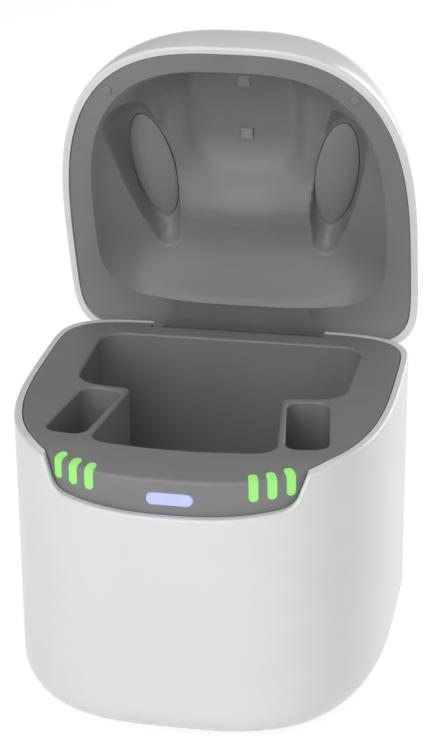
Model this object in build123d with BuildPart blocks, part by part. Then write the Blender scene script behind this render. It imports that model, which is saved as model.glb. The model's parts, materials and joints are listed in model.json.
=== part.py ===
"""Desktop dryer and charger for a pair of behind-the-ear hearing aids, with a hinged lid.

Frame: millimetres, +Z up, origin at the centre of the footprint on the surface it stands on.
The front faces -Y. The lid is modelled open, resting on its stop.
"""
from build123d import *
from math import cos, pi, radians, sin, tan
import os

os.makedirs("parts", exist_ok=True)

# ---------------------------------------------------------------- driving dimensions
# plan outline: two half superellipses that meet at the widest line
half_width = 45.0
back_reach = 28.5
front_reach = 61.0
back_power = 5.5
front_power = 2.95
crown_power = 2.4
outline_steps = 60
widest_y = (front_reach - back_reach) / 2

# heights
foot_gap = 1.0
deck_height = 68.5
lid_gap = 0.5
lid_height = 36.0

# shells
wall = 1.75
shell_fit = 0.25
insert_inset = wall + shell_fit
bottom_radius = 7.0
rim_radius = 0.6
floor_thickness = 2.9

# deck insert
deck_thickness = 2.2
skirt_depth = 13.2
skirt_thickness = 1.8
roll_radius = 1.2
slope_start_y = -31.2
slope_angle = 11.6
slope_blend = 10.0
strip_thickness = 1.8
well_depth = 34.0
well_wall = 1.6
slot_depth = 15.0
slot_wall = 1.5
slot_width = 10.0
slot_length = 26.2
slot_x = 26.4
slot_y = -13.5
slot_turn = 8.0

# front cut-out of the shell, for the fascia
notch_half = 30.3
notch_low_half = 27.2
notch_side_depth = 8.75
notch_depth = 10.8
notch_radius = 4.5

# hinge
hinge_y = 43.0
hinge_drop = 11.0
hinge_z = deck_height - hinge_drop
open_angle = 73.5
tongue_half = 21.9
tongue_gap = 0.3
tongue_out = 1.6
tongue_in = 2.4
pin_radius = 0.8
pin_clearance = 0.06
sill_drop = 12.32
pocket_floor_drop = 13.2
ear_end = 24.4
ear_out = 1.05
ear_height = 3.6

# status button and battery lights
button_width = 10.6
button_height = 2.9
button_drop = 7.05
button_gap = 0.12
light_xs = {"outer": 26.45, "middle": 22.55, "inner": 18.6}
light_bottoms = {"outer": 6.25, "middle": 6.55, "inner": 6.85}
light_width = 2.15
light_depth = 1.2
light_run = 2.55
light_proud = 0.1
light_gap = 0.04

# lid liner
cavity_centre_y = 9.0
cavity_half = 37.2
cavity_back = 23.0
cavity_front = 46.8
cavity_back_power = 3.7
cavity_front_power = 2.95
bowl_depth = 8.5
scoop_depth = 18.0
pocket_depth = 12.5
liner_wall = 1.8
liner_recess = 0.3
rim_thickness = 2.2
pad_x = 23.4
pad_y = -2.0
pad_length = 30.5
pad_width = 10.5
pad_turn = 9.1
pad_thickness = 1.9
pad_crown = 1.2
window_ys = (-24.8, -9.3)
window_size = 3.0

# screws, posts and boards
front_post = (19.0, -21.0)
rear_post = (24.0, 24.0)
post_radius = 3.5
screw_radius = 1.45
screw_length = 11.0
screw_head_radius = 2.8
board_z = 10.0
board_thickness = 1.6
board_half = 18.0
board_front_y = -12.0
board_back_y = 41.6
standoffs = [(-14.0, -8.0), (14.0, -8.0), (-14.0, 26.0), (14.0, 26.0)]
usb_half = 4.5
usb_height = 3.2

magnet_radius = 1.3
magnet_height = 2.0
base_magnet_spots = [(-39.2, 0.0), (39.2, 0.0)]
lid_magnet_spots = [(-40.2, 0.0), (40.2, 0.0)]
arm_screw_x = 16.0
arm_screw_y = 37.8

far = half_width + 5.0
corner_posts = [(side * x, y) for x, y in (front_post, rear_post) for side in (-1, 1)]
sides = {"left": -1, "right": 1}

# ---------------------------------------------------------------- shared geometry


def superellipse(half, back, front, power_back, power_front, centre_y):
    """Points of a closed outline, evenly spread by direction from (0, centre_y)."""
    points = []
    for step in range(outline_steps):
        angle = 2 * pi * step / outline_steps
        behind = sin(angle) > 0
        reach = back if behind else front
        power = power_back if behind else power_front
        radius = (abs(cos(angle) / half) ** power + abs(sin(angle) / reach) ** power) ** (-1 / power)
        points.append((radius * cos(angle), centre_y + radius * sin(angle)))
    return points


def closed_face(plane, points):
    """A face bounded by a smooth closed curve through the points."""
    with BuildSketch(plane) as profile:
        with BuildLine():
            Spline(*points, periodic=True)
        make_face()
    return profile.sketch


def case_face(plane, inset=0.0, scale=1.0):
    """The case's plan outline, moved inwards by inset, then shrunk towards the middle by scale."""
    points = superellipse(
        (half_width - inset) * scale,
        (back_reach - inset) * scale,
        (front_reach - inset) * scale,
        crown_power + (back_power - crown_power) * scale,
        crown_power + (front_power - crown_power) * scale,
        widest_y * scale,
    )
    return closed_face(plane, points)


def case_front(x, inset):
    """The y of the case's front outline at x."""
    share = (abs(x) / (half_width - inset)) ** front_power
    return widest_y - (front_reach - inset) * (1 - share) ** (1 / front_power)


def front_normal(x, inset):
    """The outward unit normal of the front outline at x."""
    along_x = (abs(x) / (half_width - inset)) ** (front_power - 1) / (half_width - inset)
    depth = (widest_y - case_front(x, inset)) / (front_reach - inset)
    along_y = depth ** (front_power - 1) / (front_reach - inset)
    normal = Vector(along_x if x > 0 else -along_x, -along_y, 0)
    return normal.normalized()


def base_plane(height):
    """A horizontal plane of the base at a height above the table."""
    return Plane.XY.offset(height)


def slope_height(y):
    """The height of the deck's sloping front strip at y."""
    return deck_height - (slope_start_y - y) * tan(radians(slope_angle))


def above_deck(drop=0.0):
    """The room above the deck, which is flat behind and slopes down at the front, lowered by drop."""
    with BuildPart() as room:
        with BuildSketch(Plane.YZ.offset(-far)) as profile:
            with BuildLine():
                Polyline(
                    (-far, slope_height(-far) - drop),
                    (slope_start_y, deck_height - drop),
                    (far, deck_height - drop),
                    (far, deck_height + far),
                    (-far, deck_height + far),
                    close=True,
                )
            make_face()
            crease = profile.vertices().sort_by_distance((slope_start_y, deck_height - drop, 0))[0]
            fillet(crease, radius=slope_blend)
        extrude(amount=2 * far)
    return room.part


# the lid's own plane: its local x, y are the case's x, y with the lid shut, and local z is height
# above the lid's lower edge; the hinge turns the shut lid back by the open angle
open_turn = radians(open_angle)
lid_normal = (0, sin(open_turn), cos(open_turn))
hinge_to_rim = hinge_drop + lid_gap
lid_origin = (
    0,
    hinge_y - hinge_y * cos(open_turn) + hinge_to_rim * sin(open_turn),
    hinge_z + hinge_y * sin(open_turn) + hinge_to_rim * cos(open_turn),
)
lid_rim = Plane(origin=lid_origin, x_dir=(1, 0, 0), z_dir=lid_normal)
lid_axis = Axis(lid_origin, lid_normal)


def dome(inset):
    """The solid of the lid's outer form, moved inwards by inset."""
    height = lid_height - inset
    sections = []
    for step in range(11):
        level = sin(radians(8.9 * step))
        scale = (1 - level**1.5) ** (1 / 3.2)
        sections.append(case_face(lid_rim.offset(level * height), inset, scale))
    with BuildPart() as form:
        loft(sections)
    return form.part


# ---------------------------------------------------------------- base: shell and bottom

with BuildPart() as shell_room:
    extrude(case_face(base_plane(foot_gap + floor_thickness), wall), amount=deck_height)
    fillet(shell_room.edges().group_by(Axis.Z)[0], radius=bottom_radius - wall)

# the front cut-out: sloping sides, round corners and a gently bowed lower edge
with BuildPart() as front_notch:
    with BuildSketch(Plane.XZ.offset(notch_low_half)) as notch_profile:
        with BuildLine():
            low_z = deck_height - notch_side_depth
            Polyline(
                (-notch_low_half, low_z),
                (-notch_half, deck_height),
                (-notch_half, deck_height + 2),
                (notch_half, deck_height + 2),
                (notch_half, deck_height),
                (notch_low_half, low_z),
            )
            ThreePointArc(
                (-notch_low_half, low_z),
                (0, deck_height - notch_depth),
                (notch_low_half, low_z),
            )
        make_face()
        fillet(notch_profile.vertices().group_by(Axis.Y)[0], radius=notch_radius)
    extrude(amount=front_reach)

cover_inset = 11.0
ledge_inset = 13.5
cover_thickness = 2.0

with BuildPart() as base_shell:
    extrude(case_face(base_plane(foot_gap)), amount=deck_height - foot_gap + 1)
    add(above_deck(), mode=Mode.SUBTRACT)
    fillet(base_shell.edges().group_by(Axis.Z)[0], radius=bottom_radius)
    add(front_notch.part, mode=Mode.SUBTRACT)
    rim = base_shell.edges().filter_by_position(Axis.Z, deck_height - notch_depth - 1, deck_height)
    fillet(rim.filter_by(GeomType.BSPLINE), radius=rim_radius)
    add(shell_room.part, mode=Mode.SUBTRACT)
    extrude(
        case_face(base_plane(foot_gap), cover_inset), amount=cover_thickness + 0.1, mode=Mode.SUBTRACT
    )
    extrude(case_face(base_plane(foot_gap), ledge_inset), amount=floor_thickness, mode=Mode.SUBTRACT)
    # hinge gap in the back rim, with a sloped sill that the open hinge arm rests on
    with BuildSketch(Plane.YZ.offset(-tongue_half - tongue_gap)):
        with BuildLine():
            Polyline(
                (hinge_y - 3, deck_height + 2),
                (hinge_y - 3, deck_height - pocket_floor_drop),
                (hinge_y + 0.3, deck_height - pocket_floor_drop),
                (hinge_y + 1.4, deck_height - sill_drop),
                (hinge_y + 4, deck_height - sill_drop),
                (hinge_y + 4, deck_height + 2),
                close=True,
            )
        make_face()
    extrude(amount=2 * (tongue_half + tongue_gap), mode=Mode.SUBTRACT)
    # blind pockets inside the back wall for the ears that hold the hinge pin
    with BuildSketch(Plane.XY.offset(hinge_z - ear_height / 2 - 0.15)):
        for sign in sides.values():
            with Locations((sign * (tongue_half + ear_end) / 2, hinge_y)):
                Rectangle(ear_end - tongue_half + 0.3, 2 * (ear_out + shell_fit))
    extrude(amount=ear_height + 0.3, mode=Mode.SUBTRACT)
    # power inlet in the back wall
    with BuildSketch(Plane.XZ.offset(-hinge_y + 3)):
        with Locations((0, board_z + board_thickness + usb_height / 2)):
            SlotOverall(2 * usb_half + 1.0, usb_height + 1.0)
    extrude(amount=-8, mode=Mode.SUBTRACT)
base_shell.part.label = "base_shell"
export_step(base_shell.part, "parts/base_shell.step")

foot_recess = 0.5
pad_inset = 15.0

with BuildPart() as bottom_cover:
    extrude(case_face(base_plane(foot_gap), cover_inset + 0.15), amount=cover_thickness)
    with BuildSketch(base_plane(foot_gap + cover_thickness)):
        with Locations(*standoffs):
            Circle(2.4)
    extrude(amount=board_z - foot_gap - cover_thickness)
    # board screw holes
    with BuildSketch(base_plane(board_z)):
        with Locations(*standoffs):
            Circle(0.85)
    extrude(amount=-6, mode=Mode.SUBTRACT)
    # a recess for the foot pad, and the screw holes under it
    extrude(case_face(base_plane(foot_gap), pad_inset - 0.15), amount=foot_recess, mode=Mode.SUBTRACT)
    with BuildSketch(base_plane(foot_gap + foot_recess)):
        with Locations(*corner_posts):
            Circle(screw_head_radius + 0.1)
    extrude(amount=0.6, mode=Mode.SUBTRACT)
    with BuildSketch(base_plane(foot_gap)):
        with Locations(*corner_posts):
            Circle(screw_radius + 0.2)
    extrude(amount=cover_thickness, mode=Mode.SUBTRACT)
bottom_cover.part.label = "bottom_cover"
export_step(bottom_cover.part, "parts/bottom_cover.step")

with BuildPart() as foot_pad:
    extrude(case_face(base_plane(0), pad_inset), amount=foot_gap + foot_recess - 0.02)
    fillet(foot_pad.edges().group_by(Axis.Z)[0], radius=0.4)
foot_pad.part.label = "foot_pad"
export_step(foot_pad.part, "parts/foot_pad.step")

with BuildPart() as cover_screws:
    with BuildSketch(base_plane(foot_gap + foot_recess + 0.05)):
        with Locations(*corner_posts):
            Circle(screw_head_radius)
            RegularPolygon(1.0, 6, mode=Mode.SUBTRACT)
    extrude(amount=0.5)
    with BuildSketch(base_plane(foot_gap + foot_recess + 0.35)):
        with Locations(*corner_posts):
            Circle(screw_radius)
    extrude(amount=screw_length)
cover_screws.part.label = "cover_screws"
export_step(cover_screws.part, "parts/cover_screws.step")

# ---------------------------------------------------------------- base: deck insert


def well_face(plane, grow=0.0):
    """The well's opening: narrow between the two slots and wide behind them."""
    right = [(18.3, 0.6), (32.6, 2.7), (33.2, 35.0)]
    left = [(-x, y) for x, y in reversed(right)]
    corner = (21.7, -29.3)
    with BuildSketch(plane) as profile:
        with BuildLine():
            Polyline(corner, *right, *left, (-corner[0], corner[1]))
            ThreePointArc((-corner[0], corner[1]), (0, -31.7), corner)
        make_face()
        for radius, (x, y) in zip((4.5, 2.0, 7.0, 6.0), (corner, *right)):
            for sign in (-1, 1):
                fillet(profile.vertices().sort_by_distance((sign * x, y, 0))[0], radius=radius)
        if grow:
            offset(amount=grow)
    return profile.sketch


def slot_face(plane, sign, grow=0.0):
    """One hearing aid slot, toed in towards the back."""
    with BuildSketch(plane) as profile:
        with Locations(Location((sign * slot_x, slot_y, 0), (0, 0, sign * slot_turn))):
            RectangleRounded(slot_width + 2 * grow, slot_length + 2 * grow, 3.2 + grow)
    return profile.sketch


def light_solid(x, bottom, grow=0.0):
    """A light bar that stands on the fascia and bends over its edge onto the sloping strip."""
    normal = front_normal(x, insert_inset)
    across = Vector(normal.Y, -normal.X, 0)
    front_y = case_front(x, insert_inset)
    section = Plane(origin=(x, front_y, slope_height(front_y)), x_dir=normal, z_dir=across)
    out = light_proud + grow
    back = light_depth + grow
    low = deck_height - bottom - grow - slope_height(front_y)
    inner = -light_run - grow
    rise = tan(radians(slope_angle)) * abs(normal.Y)
    with BuildPart() as bar:
        with BuildSketch(section) as profile:
            with BuildLine():
                Polyline(
                    (out, low),
                    (out, out - rise * out),
                    (inner, out - rise * inner),
                    (inner, -back - rise * inner),
                    (-back, -back + rise * back),
                    (-back, low),
                    close=True,
                )
            make_face()
            bend = profile.vertices().sort_by_distance((out, out, 0))[0]
            fillet(bend, radius=roll_radius + out)
        extrude(amount=light_width / 2 + grow, both=True)
        thickness = out + back
        ends = bar.edges().filter_by(lambda edge: abs(edge.length - thickness) < 1e-4)
        fillet(ends, radius=light_width / 2 + grow - 0.08)
    return bar.part


def button_face(plane, grow=0.0):
    """The pill outline of the status button."""
    with BuildSketch(plane) as profile:
        with Locations((0, deck_height - button_drop)):
            SlotOverall(button_width + 2 * grow, button_height + 2 * grow)
    return profile.sketch


with BuildPart() as well_room:
    extrude(well_face(base_plane(deck_height)), amount=-well_depth)
    fillet(well_room.edges().group_by(Axis.Z)[0], radius=3.0)

# what the rounded edge between deck and fascia takes off
edge_zone = 6.0

with BuildPart() as rounded_plug:
    extrude(case_face(base_plane(deck_height - edge_zone), insert_inset), amount=edge_zone + 1)
    add(above_deck(), mode=Mode.SUBTRACT)
    edge = rounded_plug.edges().filter_by_position(Axis.Z, deck_height - 4, deck_height)
    fillet(edge.filter_by(GeomType.LINE, reverse=True), radius=roll_radius)

with BuildPart() as roll_cutter:
    with BuildSketch(base_plane(deck_height - edge_zone)):
        corner = Vector(notch_half - 0.4, case_front(notch_half, insert_inset), 0)
        inwards = corner - front_normal(notch_half, insert_inset) * (roll_radius + 1)
        outwards = corner + front_normal(notch_half, insert_inset) * 12
        with BuildLine():
            Polyline(
                (inwards.X, inwards.Y),
                (outwards.X, outwards.Y),
                (-outwards.X, outwards.Y),
                (-inwards.X, inwards.Y),
                close=True,
            )
        make_face()
    extrude(amount=edge_zone + 1)
    add(rounded_plug.part, mode=Mode.SUBTRACT)

with BuildPart() as skirt_room:
    skirt_low = base_plane(deck_height - skirt_depth)
    extrude(case_face(skirt_low, insert_inset + skirt_thickness), amount=skirt_depth - deck_thickness)
    add(above_deck(strip_thickness), mode=Mode.SUBTRACT)

pocket_front_y = hinge_y - 3.2
pocket_wall = 1.5
front_wall_y = case_front(0, insert_inset)
led_board_z = deck_height - 12.2
led_board_thickness = 1.0
led_bosses = [(-13.5, -35.4), (13.5, -35.4)]

with BuildPart() as deck_insert:
    extrude(case_face(base_plane(deck_height - skirt_depth), insert_inset), amount=skirt_depth)
    add(skirt_room.part, mode=Mode.SUBTRACT)
    extrude(well_face(base_plane(deck_height - 1), well_wall), amount=1 - well_depth - well_wall)
    for sign in sides.values():
        extrude(slot_face(base_plane(deck_height - 1), sign, slot_wall), amount=1 - slot_depth - slot_wall)
    # hinge pocket: a front wall, a floor and two ears that hold the pin
    with BuildSketch(base_plane(deck_height - 1)):
        with Locations((0, (pocket_front_y - pocket_wall + hinge_y) / 2)):
            Rectangle(2 * ear_end, hinge_y - pocket_front_y + pocket_wall)
    extrude(amount=1 - pocket_floor_drop - pocket_wall)
    # posts down to the bottom cover
    with BuildSketch(base_plane(foot_gap + cover_thickness + 0.02)):
        with Locations(*corner_posts):
            Circle(post_radius)
    extrude(amount=deck_height - well_depth - foot_gap - cover_thickness - 1)
    with BuildSketch(base_plane(foot_gap)):
        with Locations(*corner_posts):
            Circle(screw_radius + 0.03)
    extrude(amount=screw_length + 3, mode=Mode.SUBTRACT)
    # cups for the magnets that hold the lid shut
    with BuildSketch(base_plane(deck_height - 1)):
        with Locations(*base_magnet_spots):
            Circle(magnet_radius + 1)
    extrude(amount=1 - deck_thickness - magnet_height)
    with BuildSketch(base_plane(deck_height - deck_thickness)):
        with Locations(*base_magnet_spots):
            Circle(magnet_radius + 0.03)
    extrude(amount=-magnet_height - 1, mode=Mode.SUBTRACT)
    # bosses for the light board
    with BuildSketch(base_plane(led_board_z + led_board_thickness + 0.02)):
        with Locations(*led_bosses):
            Circle(1.9)
    extrude(amount=deck_height - 1.2 - led_board_z - led_board_thickness)
    # trim everything to the inside of the shell
    extrude(case_face(base_plane(0), insert_inset), amount=deck_height, mode=Mode.INTERSECT)
    for sign in sides.values():
        extrude(slot_face(base_plane(deck_height), sign), amount=-slot_depth, mode=Mode.SUBTRACT)
    slot_rims = deck_insert.faces().sort_by(Axis.Z)[-1].inner_wires()
    fillet([edge for wire in slot_rims for edge in wire.edges()], radius=0.5)
    add(well_room.part, mode=Mode.SUBTRACT)
    well_rim = deck_insert.faces().sort_by(Axis.Z)[-1].inner_wires().sort_by(SortBy.LENGTH)[-1]
    fillet(well_rim.edges(), radius=0.6)
    with BuildSketch(Plane.YZ.offset(-ear_end)):
        with Locations((hinge_y, hinge_z)):
            Rectangle(2 * ear_out, ear_height)
    extrude(amount=2 * ear_end)
    with BuildSketch(base_plane(deck_height + 1)):
        with Locations((0, pocket_front_y + 5)):
            Rectangle(2 * (tongue_half + tongue_gap), 10)
    extrude(amount=-1 - pocket_floor_drop, mode=Mode.SUBTRACT)
    with BuildSketch(Plane.YZ.offset(-ear_end)):
        with Locations((hinge_y, hinge_z)):
            Circle(pin_radius + 0.03)
    extrude(amount=2 * ear_end, mode=Mode.SUBTRACT)
    add(above_deck(), mode=Mode.SUBTRACT)
    add(roll_cutter.part, mode=Mode.SUBTRACT)
    for place, x in light_xs.items():
        for sign in sides.values():
            groove = light_solid(sign * x, light_bottoms[place], light_gap)
            add(groove, mode=Mode.SUBTRACT)
    extrude(
        button_face(Plane.XZ.offset(-front_wall_y - 4), button_gap), amount=6, mode=Mode.SUBTRACT
    )
deck_insert.part.label = "deck_insert"
export_step(deck_insert.part, "parts/deck_insert.step")

with BuildPart() as hinge_pin:
    with BuildSketch(Plane.YZ.offset(-ear_end + 0.05)):
        with Locations((hinge_y, hinge_z)):
            Circle(pin_radius)
    extrude(amount=2 * (ear_end - 0.05))
    chamfer(hinge_pin.edges(), length=0.15)
hinge_pin.part.label = "hinge_pin"
export_step(hinge_pin.part, "parts/hinge_pin.step")

with BuildPart() as base_magnets:
    with BuildSketch(base_plane(deck_height - deck_thickness - 0.02)):
        with Locations(*base_magnet_spots):
            Circle(magnet_radius)
    extrude(amount=0.02 - magnet_height)
base_magnets.part.label = "base_magnets"
export_step(base_magnets.part, "parts/base_magnets.step")

# ---------------------------------------------------------------- base: lights, button, boards

for side, sign in sides.items():
    for place, x in light_xs.items():
        with BuildPart() as light_bar:
            add(light_solid(sign * x, light_bottoms[place]))
        light_bar.part.label = f"light_bar_{side}_{place}"
        export_step(light_bar.part, f"parts/light_bar_{side}_{place}.step")

button_proud = 0.25
flange_front_y = front_wall_y + skirt_thickness + 0.12
flange_depth = 0.6
button_travel = 0.5

with BuildPart() as status_button:
    reach = flange_front_y + 0.1 - front_wall_y + button_proud
    extrude(button_face(Plane.XZ.offset(-flange_front_y - 0.1)), amount=reach)
    fillet(status_button.edges().group_by(Axis.Y)[0], radius=0.3)
    extrude(button_face(Plane.XZ.offset(-flange_front_y), 0.5), amount=-flange_depth)
status_button.part.label = "status_button"
export_step(status_button.part, "parts/status_button.step")

with BuildPart() as indicator_board:
    with BuildSketch(base_plane(led_board_z)):
        add(case_face(base_plane(0), insert_inset + skirt_thickness + 0.4))
        with Locations((0, -37)):
            Rectangle(62, 10, mode=Mode.INTERSECT)
        add(well_face(base_plane(0), well_wall + 0.4), mode=Mode.SUBTRACT)
        for sign in sides.values():
            add(slot_face(base_plane(0), sign, slot_wall + 0.4), mode=Mode.SUBTRACT)
    extrude(amount=led_board_thickness)
indicator_board.part.label = "indicator_board"
export_step(indicator_board.part, "parts/indicator_board.step")

led_xs = [sign * x for sign in sides.values() for x in light_xs.values()]
led_spots = [(x, case_front(x, insert_inset + skirt_thickness) + 1.8) for x in led_xs]

with BuildPart() as indicator_leds:
    with BuildSketch(base_plane(led_board_z + led_board_thickness + 0.02)):
        with Locations(*led_spots):
            Rectangle(1.6, 1.6)
    extrude(amount=0.8)
indicator_leds.part.label = "indicator_leds"
export_step(indicator_leds.part, "parts/indicator_leds.step")

switch_front_y = flange_front_y + flange_depth + button_travel + 0.05
switch_centre_z = deck_height - button_drop

with BuildPart() as status_switch:
    with BuildSketch(base_plane(led_board_z + led_board_thickness + 0.02)):
        with Locations((0, switch_front_y + 0.8 + 1.6)):
            Rectangle(6.0, 3.2)
    extrude(amount=switch_centre_z + 2.2 - led_board_z - led_board_thickness)
    with BuildSketch(Plane.XZ.offset(-switch_front_y - 1)):
        with Locations((0, switch_centre_z)):
            Circle(1.5)
    extrude(amount=1)
status_switch.part.label = "status_switch"
export_step(status_switch.part, "parts/status_switch.step")

for side, sign in sides.items():
    with BuildPart() as charging_coil:
        with BuildSketch(base_plane(deck_height - slot_depth - slot_wall - 0.03)):
            with Locations(Location((sign * slot_x, slot_y, 0), (0, 0, sign * slot_turn))):
                SlotOverall(slot_length - 2, slot_width - 1, rotation=90)
                SlotOverall(slot_length - 8, slot_width - 7, rotation=90, mode=Mode.SUBTRACT)
        extrude(amount=-1.2)
    charging_coil.part.label = f"charging_coil_{side}"
    export_step(charging_coil.part, f"parts/charging_coil_{side}.step")

with BuildPart() as heater_plate:
    with BuildSketch(base_plane(deck_height - well_depth - well_wall - 0.03)):
        with Locations((0, 5)):
            RectangleRounded(32, 40, 3)
    extrude(amount=-1.6)
heater_plate.part.label = "heater_plate"
export_step(heater_plate.part, "parts/heater_plate.step")

with BuildPart() as main_board:
    with BuildSketch(base_plane(board_z + 0.02)):
        with Locations((0, (board_front_y + board_back_y) / 2)):
            RectangleRounded(2 * board_half, board_back_y - board_front_y, 1.5)
        with Locations(*standoffs):
            Circle(1.1, mode=Mode.SUBTRACT)
    extrude(amount=board_thickness)
main_board.part.label = "main_board"
export_step(main_board.part, "parts/main_board.step")

with BuildPart() as board_screws:
    with BuildSketch(base_plane(board_z + board_thickness + 0.05)):
        with Locations(*standoffs):
            Circle(1.8)
    extrude(amount=1.0)
    with BuildSketch(base_plane(board_z + board_thickness + 0.3)):
        with Locations(*standoffs):
            Circle(0.8)
    extrude(amount=-6)
board_screws.part.label = "board_screws"
export_step(board_screws.part, "parts/board_screws.step")

usb_z = board_z + board_thickness + usb_height / 2 + 0.04
usb_mouth_y = hinge_y + 1.0

with BuildPart() as usb_c_socket:
    with BuildSketch(Plane.XZ.offset(-usb_mouth_y)):
        with Locations((0, usb_z)):
            SlotOverall(2 * usb_half, usb_height)
    extrude(amount=8)
    with BuildSketch(Plane.XZ.offset(-usb_mouth_y)):
        with Locations((0, usb_z)):
            SlotOverall(2 * usb_half - 0.6, usb_height - 0.6)
            Rectangle(6.7, 0.7, mode=Mode.SUBTRACT)
    extrude(amount=6.2, mode=Mode.SUBTRACT)
usb_c_socket.part.label = "usb_c_socket"
export_step(usb_c_socket.part, "parts/usb_c_socket.step")

# ---------------------------------------------------------------- lid

lid_side = Plane(origin=lid_origin, x_dir=(0, cos(open_turn), -sin(open_turn)), z_dir=(1, 0, 0))
arm_top = 3.0
arm_back_y = hinge_y + tongue_out
arm_front_y = hinge_y - tongue_in
flange_low = liner_recess + rim_thickness + 0.03
flange_top = flange_low + 1.5


def lid_face(height, inset_side, inset_back, inset_front):
    """The liner cavity's outline at a height, moved in by three amounts."""
    points = superellipse(
        cavity_half - inset_side,
        cavity_back - inset_back,
        cavity_front - inset_front,
        cavity_back_power,
        cavity_front_power,
        cavity_centre_y,
    )
    return closed_face(lid_rim.offset(height), points)


def rounded_block(height, centre, width, length, radius, turn=0.0):
    """A rounded rectangle in a plane above the lid's rim."""
    with BuildSketch(lid_rim.offset(height)) as profile:
        with Locations(Location((*centre, 0), (0, 0, turn))):
            RectangleRounded(width, length, radius)
    return profile.sketch


def liner_form(low, grow):
    """The hollow of the liner: a shallow bowl, a central scoop and two channels."""
    top = bowl_depth + grow
    with BuildPart() as form:
        loft([lid_face(low, -grow, -grow, -grow), lid_face(top, 4.5 - grow, 14 - grow, 4 - grow)])
        loft(
            [
                rounded_block(2, (0, -13), 30 + 2 * grow, 45 + 2 * grow, 7),
                rounded_block(scoop_depth + grow, (0, -13.5), 22 + 2 * grow, 33 + 2 * grow, 5),
            ]
        )
        for sign in sides.values():
            spot = (sign * 23.45, -1.0)
            turn = sign * 8.5
            loft(
                [
                    rounded_block(6, spot, 14.6 + 2 * grow, 47 + 2 * grow, 6.8, turn),
                    rounded_block(pocket_depth + grow, spot, 12.4 + 2 * grow, 41 + 2 * grow, 5.8, turn),
                ]
            )
    return form.part


with BuildPart() as lid_shell:
    add(dome(0))
    fillet(lid_shell.edges().group_by(lid_axis)[0], radius=rim_radius)
    add(dome(wall), mode=Mode.SUBTRACT)
    with BuildSketch(lid_side.offset(-tongue_half - tongue_gap)):
        with Locations((hinge_y + 2, 0)):
            Rectangle(9, 2 * (arm_top + tongue_gap))
    extrude(amount=2 * (tongue_half + tongue_gap), mode=Mode.SUBTRACT)
lid_shell.part.label = "lid_shell"
export_step(lid_shell.part, "parts/lid_shell.step")

bumper_spots = [(-30.2, -31.6), (30.2, -31.6)]

with BuildPart() as lid_liner:
    extrude(case_face(lid_rim.offset(liner_recess), insert_inset), amount=rim_thickness)
    add(liner_form(liner_recess, liner_wall))
    with BuildSketch(lid_rim.offset(liner_recess + 1)):
        with Locations(*lid_magnet_spots):
            Circle(magnet_radius + 0.9)
    extrude(amount=rim_thickness - 1 + magnet_height)
    with BuildSketch(lid_rim.offset(scoop_depth + 1)):
        with Locations((-2.5, -17), (2.5, -17)):
            Circle(1.2)
    extrude(amount=liner_wall - 1 + 0.7)
    add(dome(wall + shell_fit), mode=Mode.INTERSECT)
    add(liner_form(liner_recess - 0.2, 0), mode=Mode.SUBTRACT)
    with BuildSketch(lid_rim.offset(liner_recess + rim_thickness)):
        with Locations(*lid_magnet_spots):
            Circle(magnet_radius + 0.03)
    extrude(amount=magnet_height + 1, mode=Mode.SUBTRACT)
    # room for the hinge arm, with pilot holes for its screws
    with BuildSketch(lid_side.offset(-tongue_half - 0.2)):
        with Locations((arm_front_y - 0.2 + 3, 0)):
            Rectangle(6, 12)
    extrude(amount=2 * tongue_half + 0.4, mode=Mode.SUBTRACT)
    with BuildSketch(lid_rim.offset(liner_recess + rim_thickness)):
        with Locations((-arm_screw_x, arm_screw_y), (arm_screw_x, arm_screw_y)):
            Circle(0.83)
    extrude(amount=-1.7, mode=Mode.SUBTRACT)
    # seats for the pads, windows and bumpers
    for sign in sides.values():
        with BuildSketch(lid_rim.offset(pocket_depth - 1)):
            with Locations(Location((sign * pad_x, pad_y, 0), (0, 0, sign * pad_turn))):
                Ellipse(pad_width / 2 + 0.25, pad_length / 2 + 0.25)
        extrude(amount=2.03, mode=Mode.SUBTRACT)
    with BuildSketch(lid_rim.offset(scoop_depth - 1)):
        for y in window_ys:
            with Locations((0, y)):
                Rectangle(window_size + 0.1, window_size + 0.1)
    extrude(amount=4, mode=Mode.SUBTRACT)
    with BuildSketch(lid_rim):
        with Locations(*bumper_spots):
            Circle(1.25)
    extrude(amount=liner_recess + 0.7, mode=Mode.SUBTRACT)
lid_liner.part.label = "lid_liner"
export_step(lid_liner.part, "parts/lid_liner.step")

with BuildPart() as hinge_arm:
    with BuildSketch(lid_side.offset(-tongue_half)) as arm_profile:
        low = -hinge_to_rim
        with BuildLine():
            Polyline(
                (arm_back_y, low),
                (arm_back_y, arm_top),
                (hinge_y - 1.2, arm_top),
                (hinge_y - 1.2, flange_top),
                (arm_front_y - 5.5, flange_top),
                (arm_front_y - 5.5, flange_low),
                (arm_front_y, flange_low),
                (arm_front_y, low - tongue_out),
                (hinge_y, low - tongue_out),
            )
            RadiusArc((hinge_y, low - tongue_out), (arm_back_y, low), -tongue_out)
        make_face()
    extrude(amount=2 * tongue_half)
    with BuildSketch(lid_side.offset(-tongue_half)):
        with Locations((hinge_y, -hinge_to_rim)):
            Circle(pin_radius + pin_clearance)
    extrude(amount=2 * tongue_half, mode=Mode.SUBTRACT)
    with BuildSketch(lid_rim.offset(flange_low)):
        with Locations((-arm_screw_x, arm_screw_y), (arm_screw_x, arm_screw_y)):
            Circle(1.0)
    extrude(amount=3, mode=Mode.SUBTRACT)
hinge_arm.part.label = "hinge_arm"
export_step(hinge_arm.part, "parts/hinge_arm.step")

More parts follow.
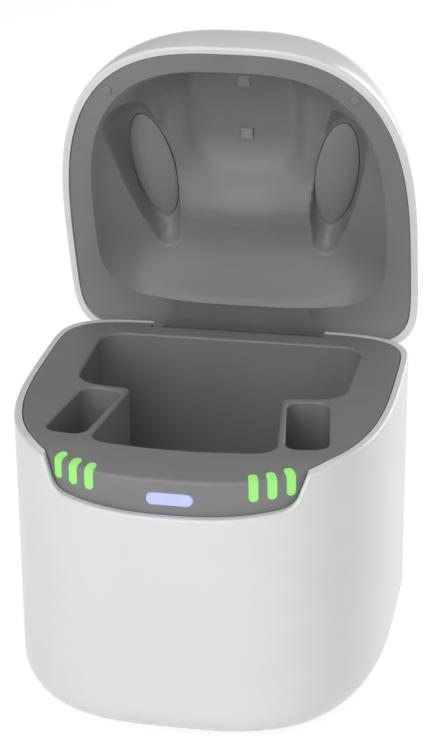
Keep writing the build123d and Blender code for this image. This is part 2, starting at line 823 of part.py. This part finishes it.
with BuildPart() as arm_screws:
    with BuildSketch(lid_rim.offset(flange_top + 0.04)):
        with Locations((-arm_screw_x, arm_screw_y), (arm_screw_x, arm_screw_y)):
            Circle(1.7)
    extrude(amount=0.9)
    with BuildSketch(lid_rim.offset(flange_top + 0.3)):
        with Locations((-arm_screw_x, arm_screw_y), (arm_screw_x, arm_screw_y)):
            Circle(0.8)
    extrude(amount=-3.4)
arm_screws.part.label = "arm_screws"
export_step(arm_screws.part, "parts/arm_screws.step")

with BuildPart() as lid_magnets:
    with BuildSketch(lid_rim.offset(liner_recess + rim_thickness + 0.02)):
        with Locations(*lid_magnet_spots):
            Circle(magnet_radius)
    extrude(amount=magnet_height - 0.02)
lid_magnets.part.label = "lid_magnets"
export_step(lid_magnets.part, "parts/lid_magnets.step")

for side, sign in sides.items():
    with BuildPart() as lid_pad:
        with BuildSketch(lid_rim.offset(pocket_depth + 1)):
            with Locations(Location((sign * pad_x, pad_y, 0), (0, 0, sign * pad_turn))):
                Ellipse(pad_width / 2, pad_length / 2)
        extrude(amount=-pad_thickness)
        fillet(lid_pad.edges().group_by(lid_axis)[0], radius=pad_crown)
    lid_pad.part.label = f"lid_pad_{side}"
    export_step(lid_pad.part, f"parts/lid_pad_{side}.step")

    with BuildPart() as lid_bumper:
        with BuildSketch(lid_rim.offset(liner_recess + 0.68)):
            with Locations((sign * 30.2, -31.6)):
                Circle(1.2)
        extrude(amount=-1.08)
        fillet(lid_bumper.edges().group_by(lid_axis)[0], radius=0.35)
    lid_bumper.part.label = f"lid_bumper_{side}"
    export_step(lid_bumper.part, f"parts/lid_bumper_{side}.step")

window_top = scoop_depth + liner_wall + 0.05

for place, y in zip(("front", "rear"), window_ys):
    with BuildPart() as uv_window:
        with BuildSketch(lid_rim.offset(scoop_depth - 0.2)):
            with Locations((0, y)):
                Rectangle(window_size, window_size)
        extrude(amount=window_top + 0.1 - scoop_depth + 0.2)
        with BuildSketch(lid_rim.offset(window_top)):
            with Locations((0, y)):
                Rectangle(window_size + 1.6, window_size + 1.6)
        extrude(amount=0.5)
    uv_window.part.label = f"uv_window_{place}"
    export_step(uv_window.part, f"parts/uv_window_{place}.step")

with BuildPart() as uv_board:
    with BuildSketch(lid_rim.offset(scoop_depth + liner_wall + 0.72)):
        with Locations((0, -17)):
            RectangleRounded(9, 27, 1)
    extrude(amount=1.0)
uv_board.part.label = "uv_board"
export_step(uv_board.part, "parts/uv_board.step")
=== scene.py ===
import json
import math

import bmesh
import bpy
import numpy as np
from mathutils import Matrix, Vector


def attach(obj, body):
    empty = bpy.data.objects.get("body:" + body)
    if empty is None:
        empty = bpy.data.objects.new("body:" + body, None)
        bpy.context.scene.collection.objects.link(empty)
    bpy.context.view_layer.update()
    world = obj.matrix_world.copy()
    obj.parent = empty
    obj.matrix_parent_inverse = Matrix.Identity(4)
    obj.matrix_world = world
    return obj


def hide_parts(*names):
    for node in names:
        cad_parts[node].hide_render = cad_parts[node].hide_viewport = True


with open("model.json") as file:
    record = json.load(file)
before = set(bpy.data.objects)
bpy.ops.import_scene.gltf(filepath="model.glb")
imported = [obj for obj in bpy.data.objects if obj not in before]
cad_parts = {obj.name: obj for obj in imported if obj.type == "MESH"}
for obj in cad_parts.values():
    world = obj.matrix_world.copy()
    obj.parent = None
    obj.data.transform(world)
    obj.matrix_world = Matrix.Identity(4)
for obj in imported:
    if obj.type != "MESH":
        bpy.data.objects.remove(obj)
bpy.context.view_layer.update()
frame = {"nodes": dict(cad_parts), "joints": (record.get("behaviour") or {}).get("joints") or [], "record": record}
nodes = frame["nodes"]
scene = bpy.context.scene

# ------------------------------------------------------------------ materials

LOOKS = {}
COAT_ROUGHNESS = 0.12
LIGHT_SPREAD = 0.06


def tint(red, green, blue):
    return (red, green, blue, 1.0)


def grey(value):
    return tint(value, value, value)


def new_material(name):
    """A new material, its node tree and its Principled shader."""
    material = bpy.data.materials.new(name)
    material.use_nodes = True
    return material, material.node_tree, material.node_tree.nodes["Principled BSDF"]


def add_node(tree, kind, **values):
    """A shader node with its inputs set by name, where an underscore stands for a space."""
    node = tree.nodes.new("ShaderNode" + kind)
    for key, value in values.items():
        node.inputs[key.replace("_", " ")].default_value = value
    return node


def grain(tree, shader, scale, height):
    """A fine bump in object space, its height in metres; gives back the coordinates' socket."""
    place = add_node(tree, "TexCoord").outputs["Object"]
    noise = add_node(tree, "TexNoise", Scale=scale, Detail=3.0)
    bump = add_node(tree, "Bump", Strength=1.0, Distance=height)
    tree.links.new(place, noise.inputs["Vector"])
    tree.links.new(noise.outputs["Fac"], bump.inputs["Height"])
    tree.links.new(bump.outputs["Normal"], shader.inputs["Normal"])
    return place


def mottle(tree, place, scale, low, high, socket):
    """Soft patches between two colours, led into a socket."""
    noise = add_node(tree, "TexNoise", Scale=scale, Detail=2.0)
    ramp = add_node(tree, "ValToRGB")
    start, end = ramp.color_ramp.elements
    start.position, end.position = 0.3, 0.7
    start.color, end.color = low, high
    tree.links.new(place, noise.inputs["Vector"])
    tree.links.new(noise.outputs["Fac"], ramp.inputs["Fac"])
    tree.links.new(ramp.outputs["Color"], socket)


def surface(name, low, high, roughness, spread, patches, grain_scale, grain_height):
    """A look with a fine grain, and with soft patches in its colour and its roughness."""
    material, tree, shader = new_material(name)
    place = grain(tree, shader, grain_scale, grain_height)
    mottle(tree, place, patches, low, high, shader.inputs["Base Color"])
    smoother, rougher = grey(roughness - spread), grey(roughness + spread)
    mottle(tree, place, 1.5 * patches, smoother, rougher, shader.inputs["Roughness"])
    LOOKS[name] = material
    return shader


def plastic(name, low, high, roughness, coat=0.0, grain_scale=2500.0, grain_height=0.00001):
    """Moulded plastic; a coat makes it glossier."""
    shader = surface(
        name,
        low,
        high,
        roughness,
        spread=0.03,
        patches=60.0,
        grain_scale=grain_scale,
        grain_height=grain_height,
    )
    shader.inputs["Coat Weight"].default_value = coat
    shader.inputs["Coat Roughness"].default_value = COAT_ROUGHNESS


def metal(name, low, high, roughness):
    shader = surface(
        name,
        low,
        high,
        roughness,
        spread=0.05,
        patches=200.0,
        grain_scale=1500.0,
        grain_height=0.000003,
    )
    shader.inputs["Metallic"].default_value = 1.0


def glowing(name, colour, strength, base):
    """A lit plastic, a little brighter in some places than in others."""
    material, tree, shader = new_material(name)
    shader.inputs["Base Color"].default_value = base
    shader.inputs["Roughness"].default_value = 0.3
    shader.inputs["Emission Color"].default_value = colour
    place = grain(tree, shader, scale=1800.0, height=0.000004)
    slow = add_node(tree, "TexNoise", Scale=300.0)
    weak, strong = strength * (1 - LIGHT_SPREAD), strength * (1 + LIGHT_SPREAD)
    glow = add_node(tree, "MapRange", To_Min=weak, To_Max=strong)
    tree.links.new(place, slow.inputs["Vector"])
    tree.links.new(slow.outputs["Fac"], glow.inputs["Value"])
    tree.links.new(glow.outputs["Result"], shader.inputs["Emission Strength"])
    LOOKS[name] = material


plastic("white_shell", grey(0.79), grey(0.81), roughness=0.32, coat=0.3)
plastic("white_matte", grey(0.7), grey(0.74), roughness=0.5)
plastic(
    "grey_liner",
    tint(0.211, 0.211, 0.213),
    tint(0.229, 0.229, 0.231),
    roughness=0.42,
    grain_scale=3500.0,
    grain_height=0.00002,
)
plastic(
    "pad_grey",
    tint(0.242, 0.242, 0.244),
    tint(0.262, 0.262, 0.264),
    roughness=0.45,
    grain_scale=3000.0,
    grain_height=0.00002,
)
glowing("green_light", tint(0.36, 1.0, 0.22), strength=0.48, base=tint(0.19, 0.48, 0.11))
glowing("blue_light", tint(0.56, 0.61, 1.0), strength=0.55, base=tint(0.27, 0.3, 0.48))
plastic("soft_rubber", grey(0.02), grey(0.03), roughness=0.7)
plastic("bumper_grey", grey(0.225), grey(0.24), roughness=0.3)
plastic("clear_window", grey(0.3), grey(0.34), roughness=0.15)
metal("steel", grey(0.5), grey(0.6), roughness=0.35)
metal("nickel", tint(0.62, 0.6, 0.57), tint(0.7, 0.68, 0.64), roughness=0.25)
metal("copper", tint(0.7, 0.32, 0.16), tint(0.8, 0.4, 0.2), roughness=0.35)
metal("heater_metal", grey(0.45), grey(0.55), roughness=0.4)
plastic("circuit_board", tint(0.01, 0.12, 0.04), tint(0.015, 0.16, 0.055), roughness=0.35)
plastic("black_plastic", grey(0.012), grey(0.018), roughness=0.45)

for part in frame["record"]["subparts"]:
    slots = nodes[part["node"]].data.materials
    slots.clear()
    slots.append(LOOKS[part["material_slot"]])

# ------------------------------------------------------------------ the open lid's place
# A lid point is in millimetres: x and y in the shut case's plan, z above the lid's lower edge.

RIM_ABOVE_HINGE = 0.0115  # with the lid shut, in metres

hinge = next(joint for joint in frame["joints"] if joint["name"] == "lid_hinge")
hinge_place = Vector(hinge["pos_m"])
open_turn = math.radians(hinge["range_deg"][1])
lid_x = Vector((1, 0, 0))
lid_y = Vector((0, math.cos(open_turn), -math.sin(open_turn)))
lid_z = Vector((0, math.sin(open_turn), math.cos(open_turn)))
lid_origin = hinge_place - lid_y * hinge_place.y + lid_z * RIM_ABOVE_HINGE


def lid_point(x, y, z):
    return lid_origin + (lid_x * x + lid_y * y + lid_z * z) / 1000


# ------------------------------------------------------------------ making and cutting pieces


def solid(name, vertices, faces):
    """A closed piece with its faces turned outwards."""
    mesh = bpy.data.meshes.new(name)
    mesh.from_pydata(vertices, [], faces)
    bm = bmesh.new()
    bm.from_mesh(mesh)
    bmesh.ops.recalc_face_normals(bm, faces=bm.faces)
    bm.to_mesh(mesh)
    bm.free()
    piece = bpy.data.objects.new(name, mesh)
    scene.collection.objects.link(piece)
    return piece


def ringed_solid(name, rings, first_centre, last_centre):
    """A closed piece through rings of lid points, with a centre point at either end."""
    count = len(rings[0])
    last = (len(rings) - 1) * count
    vertices = [lid_point(*point) for ring in rings for point in ring]
    vertices += [lid_point(*first_centre), lid_point(*last_centre)]
    faces = []
    for i in range(count):
        j = (i + 1) % count
        faces += [(k + i, k + j, k + j + count, k + i + count) for k in range(0, last, count)]
        faces.append((j, i, last + count))
        faces.append((last + i, last + j, last + count + 1))
    return solid(name, vertices, faces)


def prism(name, points, levels):
    """A closed prism between two levels of the lid."""
    count = len(points)
    vertices = [lid_point(x, y, level) for level in levels for x, y in points]
    faces = [tuple(range(count))[::-1], tuple(range(count, 2 * count))]
    for i in range(count):
        j = (i + 1) % count
        faces.append((i, j, j + count, i + count))
    return solid(name, vertices, faces)


def rectangle(y, half_x, half_y):
    """The corners of a rectangle on the lid's middle line."""
    front, back = y - half_y, y + half_y
    return [(-half_x, front), (half_x, front), (half_x, back), (-half_x, back)]


def cut_with(piece, cutters):
    """Subtracts each cutter from the piece, then removes the cutters."""
    for cutter in cutters:
        modifier = piece.modifiers.new("cut", "BOOLEAN")
        modifier.operation = "DIFFERENCE"
        modifier.solver = "EXACT"
        modifier.object = cutter
    bpy.context.view_layer.update()
    result = piece.evaluated_get(bpy.context.evaluated_depsgraph_get())
    mesh = bpy.data.meshes.new_from_object(result)
    piece.modifiers.clear()
    piece.data = mesh
    for cutter in cutters:
        bpy.data.objects.remove(cutter)


def dress(piece, look, crease):
    """Smooths a piece, apart from edges sharper than the crease in degrees, and gives it a look."""
    piece.data.shade_smooth()
    piece.data.set_sharp_from_angle(angle=math.radians(crease))
    piece.data.materials.clear()
    piece.data.materials.append(LOOKS[look])


# ------------------------------------------------------------------ domed pads in the channels

PAD_X = 23.4
PAD_Y = -2.0
PAD_TURN = math.radians(9.1)
PAD_HALF_WIDTH = 5.25
PAD_HALF_LENGTH = 15.25
PAD_BACK = 13.5
PAD_EDGE = 12.55
PAD_DOME = 1.0
DOME_POWER = 0.75

# the dome's rings stand closer together near its edge
PAD_POINTS = 96
PAD_STEPS = 14
PAD_STEP_POWER = 1.3


def pad_outline(sign, grow):
    """The oval of the pad on one side, grown outwards; its front end leans away from the middle."""
    turn = PAD_TURN * sign
    points = []
    for k in range(PAD_POINTS):
        angle = 2 * math.pi * k / PAD_POINTS
        across = (PAD_HALF_WIDTH + grow) * math.cos(angle)
        along = (PAD_HALF_LENGTH + grow) * math.sin(angle)
        x = sign * PAD_X + across * math.cos(turn) - along * math.sin(turn)
        y = PAD_Y + across * math.sin(turn) + along * math.cos(turn)
        points.append((x, y))
    return points


def build_pad(side, sign):
    """A pad with a low dome, in place of the flat-topped one."""
    x_centre = sign * PAD_X
    edge = pad_outline(sign, 0.0)
    rings = [[(x, y, PAD_BACK) for x, y in edge]]
    for k in range(PAD_STEPS):
        share = 1 - (k / PAD_STEPS) ** PAD_STEP_POWER
        level = PAD_EDGE - PAD_DOME * (1 - share**2) ** DOME_POWER
        rings.append(
            [(x_centre + (x - x_centre) * share, PAD_Y + (y - PAD_Y) * share, level) for x, y in edge]
        )
    back = (x_centre, PAD_Y, PAD_BACK)
    top = (x_centre, PAD_Y, PAD_EDGE - PAD_DOME)
    pad = ringed_solid(f"domed_pad_{side}", rings, back, top)
    dress(pad, "pad_grey", 50)
    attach(pad, "lid")
    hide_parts(f"lid_pad_{side}")


# ------------------------------------------------------------------ liner: driving values
# A profile is a list of (place, value) points. A place is a y, unless a comment says otherwise.

# the lid's and the hollow's outlines in plan: half the width, the reach behind and in front of a
# centre on the middle line, and how square either end is
LID = {"half": 45.0, "back": 28.5, "front": 61.0, "back_power": 5.5, "front_power": 2.95}
LID_CENTRE = 16.25
HOLLOW = {"half": 37.2, "back": 23.0, "front": 46.8, "back_power": 3.7, "front_power": 2.95}
HOLLOW_CENTRE = 9.0

# the rim's face with its chamfered edge, and the back of the plate and of the wall behind it
RIM_LEVEL = 0.3
RIM_INSET = 1.85
RIM_CHAMFER = 0.25
PLATE_INSET = 2.2
PLATE_BACK = 2.5
WALL = 1.8
LINER_POINTS = 288
LINER_STEPS = 96

# depth of the bowl at its sides, and how it comes up behind the scoop to the edge beside the hinge
BOWL_DEPTH = 8.8
BOWL_POWER = 3.8
BOWL_BLEND = 1.5
REAR_DEPTH = [
    (8.0, 9.0), (13.0, 8.6), (17.0, 7.9), (20.0, 6.8), (24.0, 4.6), (28.0, 2.2), (31.5, 0.0), (34.0, -1.6)
]
REAR_ROUNDING = 4.0

# depth along the middle of the scoop, from its front wall to the two-step lip at its back; the lip
# is bowed, so that LIP_HALF from the middle it lies LIP_BOW nearer the front
SCOOP_DEPTH = [
    (-37.8, 0.0), (-36.0, 8.0), (-34.0, 13.0), (-31.0, 16.2), (-26.0, 17.7), (-20.0, 18.2), (-8.0, 18.1),
    (-5.0, 17.5), (-3.0, 16.7), (-1.5, 15.8), (0.0, 14.7), (1.2, 14.0), (2.6, 13.4), (4.4, 12.2),
    (6.6, 10.7), (8.8, 9.4), (10.8, 8.7), (14.5, 8.1), (19.0, 0.0),
]
SCOOP_ROUNDING = 2.0
LIP_BOW = 1.5
LIP_HALF = 14.0

# half the scoop's width, and how abruptly its side wall rises
SCOOP_HALF = [(-34.0, 13.4), (-24.0, 15.0), (0.0, 13.8), (4.0, 11.5)]
SCOOP_SHARPNESS = [(-6.0, 10.0), (3.0, 3.6)]

# depth of the ledge beside the scoop, how far out it reaches, and how wide it fades into the bowl
LEDGE_DEPTH = [
    (-39.0, 0.0), (-35.0, 4.5), (-31.0, 7.6), (-27.0, 10.0), (-23.0, 11.6), (-17.0, 12.6), (-1.0, 12.4),
    (2.0, 11.6), (5.0, 10.3), (7.5, 9.3), (10.0, 8.7), (13.0, 8.2), (18.0, 0.0),
]
LEDGE_ROUNDING = 3.0
LEDGE_REACH = [(-36.0, 15.0), (-24.0, 17.5), (-14.0, 19.5), (0.0, 17.5), (8.0, 14.0)]
LEDGE_FADE = [(-24.0, 11.0), (-14.0, 4.5)]

# a channel: the ends of its middle line in plan, its radius by the share of that line from the
# front, its flat around the pad, and the shapes of its wall and of the wall's upper rim
CHANNEL_DEPTH = 12.5
CHANNEL_FRONT = (26.3, -19.0)
CHANNEL_BACK = (20.3, 16.0)
CHANNEL_RADIUS = [(0.0, 7.2), (0.45, 6.7), (0.8, 5.3), (1.0, 3.6)]
CHANNEL_FLAT = 0.35
CHANNEL_WALL_POWER = 1.8
CHANNEL_RIM = 1.1
TINY = 1e-3

# how softly the scoop and a channel meet, and the share of the way in over which both fade in
HOLLOW_BLEND = 1.2
EDGE_SHARE = 0.09

# openings: clearance around a pad, the windows, the hinge arm's notch, and the levels of each cut
PAD_CLEARANCE = 0.19
PAD_CUT = (5.0, 13.53)
WINDOW_PLACES = (-24.8, -9.3)
WINDOW_HALF = 1.55
WINDOW_CUT = (10.0, 22.0)
ARM_PLACE = 45.4
ARM_HALF_WIDTH = 22.1
ARM_HALF_DEPTH = 5.0
ARM_CUT = (-3.0, 6.0)

# ------------------------------------------------------------------ liner: its form


def outline(angle, centre, inset, half, back, front, back_power, front_power):
    """A point of a closed outline, by direction from (0, centre)."""
    behind = math.sin(angle) > 0
    reach = back if behind else front
    power = back_power if behind else front_power
    across = abs(math.cos(angle) / (half - inset)) ** power
    along = abs(math.sin(angle) / (reach - inset)) ** power
    radius = (across + along) ** (-1 / power)
    return radius * math.cos(angle), centre + radius * math.sin(angle)


def smoothstep(value, start, end):
    t = np.clip((value - start) / (end - start), 0.0, 1.0)
    return t * t * (3 - 2 * t)


def softer_min(a, b, radius):
    t = np.clip(0.5 + 0.5 * (b - a) / radius, 0.0, 1.0)
    return b * (1 - t) + a * t - radius * t * (1 - t)


def softer_max(a, b, radius):
    return -softer_min(-a, -b, radius)


def value_at(place, profile):
    places, values = zip(*profile)
    return np.interp(place, places, values)


def rounded(place, profile, reach):
    """A profile's value with its corners rounded, by a weighted mean over the reach on either side."""
    neighbours = ((-1.0, 1), (-0.5, 2), (0.0, 3), (0.5, 2), (1.0, 1))
    total = sum(weight * value_at(place + shift * reach, profile) for shift, weight in neighbours)
    return total / sum(weight for shift, weight in neighbours)


def channel_wall(x, y):
    """How far a channel's wall has come down: 1 at the pad that lies in it, 0 outside it."""
    line_x, line_y = CHANNEL_BACK[0] - CHANNEL_FRONT[0], CHANNEL_BACK[1] - CHANNEL_FRONT[1]
    from_x, from_y = np.abs(x) - CHANNEL_FRONT[0], y - CHANNEL_FRONT[1]
    t = np.clip((from_x * line_x + from_y * line_y) / (line_x**2 + line_y**2), 0.0, 1.0)
    from_line = np.hypot(from_x - t * line_x, from_y - t * line_y)
    to_edge = np.clip(value_at(t, CHANNEL_RADIUS) - from_line, 0.0, None)

    pad_x, pad_y = np.abs(x) - PAD_X, y - PAD_Y
    across = pad_x * math.cos(PAD_TURN) + pad_y * math.sin(PAD_TURN)
    along = pad_y * math.cos(PAD_TURN) - pad_x * math.sin(PAD_TURN)
    half_width, half_length = PAD_HALF_WIDTH + CHANNEL_FLAT, PAD_HALF_LENGTH + CHANNEL_FLAT
    level = np.maximum(np.hypot(across / half_width, along / half_length), TINY)
    from_pad = np.clip(np.hypot(across, along) * (1 - 1 / level), 0.0, None)

    share = to_edge / np.maximum(to_edge + from_pad, TINY)
    wall = np.where(level <= 1, 1.0, 1 - (1 - share) ** CHANNEL_WALL_POWER)
    return wall * smoothstep(to_edge, 0.0, CHANNEL_RIM)


def liner_depth(x, y, share):
    """Depth of the liner's hollow; share is 0 at its centre and 1 at its edge."""
    side = BOWL_DEPTH * (1 - share**BOWL_POWER)
    bowl = softer_min(side, rounded(y, REAR_DEPTH, REAR_ROUNDING), BOWL_BLEND)
    # the scoop goes down the middle, with soft shoulders up to the ledges beside it
    middle = rounded(y + LIP_BOW * (x / LIP_HALF) ** 2, SCOOP_DEPTH, SCOOP_ROUNDING)
    ledge = np.minimum(middle, rounded(y, LEDGE_DEPTH, LEDGE_ROUNDING))
    shoulder = (np.abs(x) / value_at(y, SCOOP_HALF)) ** value_at(y, SCOOP_SHARPNESS)
    target = ledge + (middle - ledge) / (1 + shoulder)
    reach = value_at(y, LEDGE_REACH)
    inside = 1 - smoothstep(np.abs(x), reach, reach + value_at(y, LEDGE_FADE))
    scoop = np.clip(target - bowl, 0.0, None) * inside
    channel = np.clip(CHANNEL_DEPTH - bowl, 0.0, None) * channel_wall(x, y)
    return bowl + softer_max(scoop, channel, HOLLOW_BLEND) * smoothstep(1 - share, 0.0, EDGE_SHARE)


def build_liner():
    """A closed moulding: the hollow and the rim in front, and the wall's back behind them."""
    angles = [2 * math.pi * (k + 0.5) / LINER_POINTS for k in range(LINER_POINTS)]
    edge_x, edge_y = np.array([outline(angle, HOLLOW_CENTRE, 0.0, **HOLLOW) for angle in angles]).T

    def rim_ring(inset, level):
        return [(*outline(angle, LID_CENTRE, inset, **LID), level) for angle in angles]

    front = [
        rim_ring(RIM_INSET, RIM_LEVEL + RIM_CHAMFER),
        rim_ring(RIM_INSET + RIM_CHAMFER, RIM_LEVEL),
    ]
    back = [rim_ring(PLATE_INSET, PLATE_BACK)]
    for k in range(LINER_STEPS):
        share = 1 - k / LINER_STEPS
        xs = edge_x * share
        ys = HOLLOW_CENTRE + (edge_y - HOLLOW_CENTRE) * share
        level = RIM_LEVEL + liner_depth(xs, ys, share) * (share < 1)
        front.append(list(zip(xs, ys, level)))
        back.append(list(zip(xs, ys, np.maximum(level + WALL, PLATE_BACK))))
    middle = RIM_LEVEL + liner_depth(0.0, HOLLOW_CENTRE, 0.0)
    front_centre = (0, HOLLOW_CENTRE, middle)
    back_centre = (0, HOLLOW_CENTRE, middle + WALL)
    return ringed_solid("liner_moulding", front[::-1] + back, front_centre, back_centre)


liner = build_liner()
cutters = [prism(f"pad_cut_{sign}", pad_outline(sign, PAD_CLEARANCE), PAD_CUT) for sign in (-1, 1)]
for k, place in enumerate(WINDOW_PLACES):
    cutters.append(prism(f"window_cut_{k}", rectangle(place, WINDOW_HALF, WINDOW_HALF), WINDOW_CUT))
cutters.append(prism("arm_cut", rectangle(ARM_PLACE, ARM_HALF_WIDTH, ARM_HALF_DEPTH), ARM_CUT))
cut_with(liner, cutters)
dress(liner, "grey_liner", 28)
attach(liner, "lid")
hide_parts("lid_liner")

build_pad("left", -1)
build_pad("right", 1)

# ------------------------------------------------------------------ floor and room

FLOOR_SIZE = 8.0
FLOOR_GREY = 0.9
FLOOR_ROUGHNESS = 0.9
FLOOR_GLOW = 1.15
FLOOR_GLOW_SHARE = 0.75
ROOM_LEFT = 0.22  # the room's light from the far left; from the middle on it is ROOM_RIGHT
ROOM_RIGHT = 0.46


def floor_material():
    """A matt white floor that glows for the camera and in reflections, and keeps its shadows."""
    material, tree, shader = new_material("floor")
    shader.inputs["Base Color"].default_value = grey(FLOOR_GREY)
    shader.inputs["Roughness"].default_value = FLOOR_ROUGHNESS
    path = add_node(tree, "LightPath")
    seen = add_node(tree, "Math")
    seen.operation = "MAXIMUM"
    share = add_node(tree, "Math")
    share.operation = "MULTIPLY"
    share.inputs[1].default_value = FLOOR_GLOW_SHARE
    glow = add_node(tree, "Emission", Strength=FLOOR_GLOW)
    mix = add_node(tree, "MixShader")
    tree.links.new(path.outputs["Is Camera Ray"], seen.inputs[0])
    tree.links.new(path.outputs["Is Glossy Ray"], seen.inputs[1])
    tree.links.new(seen.outputs[0], share.inputs[0])
    tree.links.new(share.outputs[0], mix.inputs["Fac"])
    tree.links.new(shader.outputs["BSDF"], mix.inputs[1])
    tree.links.new(glow.outputs["Emission"], mix.inputs[2])
    tree.links.new(mix.outputs["Shader"], tree.nodes["Material Output"].inputs["Surface"])
    return material


def build_room():
    """A room that lights the case less from the left, and that the camera sees as pure white."""
    world = bpy.data.worlds.new("studio")
    scene.world = world
    world.use_nodes = True
    tree = world.node_tree
    backdrop = tree.nodes["Background"]
    backdrop.inputs["Color"].default_value = grey(1.0)
    towards = add_node(tree, "TexCoord")
    axes = add_node(tree, "SeparateXYZ")
    room = add_node(
        tree, "MapRange", From_Min=-1.0, From_Max=0.0, To_Min=ROOM_LEFT, To_Max=ROOM_RIGHT
    )
    path = add_node(tree, "LightPath")
    level = add_node(tree, "MapRange", To_Max=1.0)
    tree.links.new(towards.outputs["Generated"], axes.inputs["Vector"])
    tree.links.new(axes.outputs["X"], room.inputs["Value"])
    tree.links.new(room.outputs["Result"], level.inputs["To Min"])
    tree.links.new(path.outputs["Is Camera Ray"], level.inputs["Value"])
    tree.links.new(level.outputs["Result"], backdrop.inputs["Strength"])


bpy.ops.mesh.primitive_grid_add(x_subdivisions=4, y_subdivisions=4, size=FLOOR_SIZE)
floor = bpy.context.object
floor.name = "floor"
floor.data.materials.append(floor_material())

build_room()

# ------------------------------------------------------------------ lamps and camera

LAMP_AIM = Vector((0, 0, 0.07))

CAMERA_AZIMUTH = 10.92
CAMERA_ELEVATION = 23.03
CAMERA_ROLL = math.radians(-0.47)
CAMERA_DISTANCE = 0.5297
CAMERA_AIM = Vector((-0.00007, 0.01625, 0.06638))
FOCAL_PIXELS = 2169.0
PHOTO_HEIGHT_PIXELS = 752
SENSOR = 36.0


def direction(azimuth, elevation):
    """The way from the case, in degrees; azimuth 0 is straight in front, positive to the right."""
    turn, tilt = math.radians(azimuth), math.radians(elevation)
    return Vector((math.sin(turn) * math.cos(tilt), -math.cos(turn) * math.cos(tilt), math.sin(tilt)))


def area(name, azimuth, elevation, distance, size, watts):
    """A square softbox aimed at the case."""
    light = bpy.data.lights.new(name, "AREA")
    light.shape = "SQUARE"
    light.size = size
    light.energy = watts
    lamp = bpy.data.objects.new(name, light)
    scene.collection.objects.link(lamp)
    away = direction(azimuth, elevation)
    lamp.location = LAMP_AIM + away * distance
    lamp.rotation_mode = "QUATERNION"
    lamp.rotation_quaternion = (-away).to_track_quat("-Z", "Y")


def build_camera():
    """A long lens, rolled about its line of sight."""
    back = direction(CAMERA_AZIMUTH, CAMERA_ELEVATION)
    level_right = Vector((-back.y, back.x, 0)).normalized()
    level_up = back.cross(level_right)
    right = level_right * math.cos(CAMERA_ROLL) + level_up * math.sin(CAMERA_ROLL)
    up = level_up * math.cos(CAMERA_ROLL) - level_right * math.sin(CAMERA_ROLL)
    camera = bpy.data.objects.new("camera", bpy.data.cameras.new("camera"))
    scene.collection.objects.link(camera)
    camera.data.lens = FOCAL_PIXELS * SENSOR / PHOTO_HEIGHT_PIXELS
    camera.data.sensor_width = SENSOR
    camera.data.clip_start = 0.01
    camera.data.clip_end = 50
    turn = Matrix((right, up, back)).transposed().to_4x4()
    camera.matrix_world = Matrix.Translation(CAMERA_AIM + back * CAMERA_DISTANCE) @ turn
    scene.camera = camera


area("key", azimuth=-15, elevation=28, distance=0.9, size=0.7, watts=4.15)
area("right", azimuth=144, elevation=15, distance=0.8, size=0.5, watts=2.4)
area("top", azimuth=20, elevation=78, distance=0.85, size=0.6, watts=0.3)
build_camera()

scene.view_settings.view_transform = "Standard"
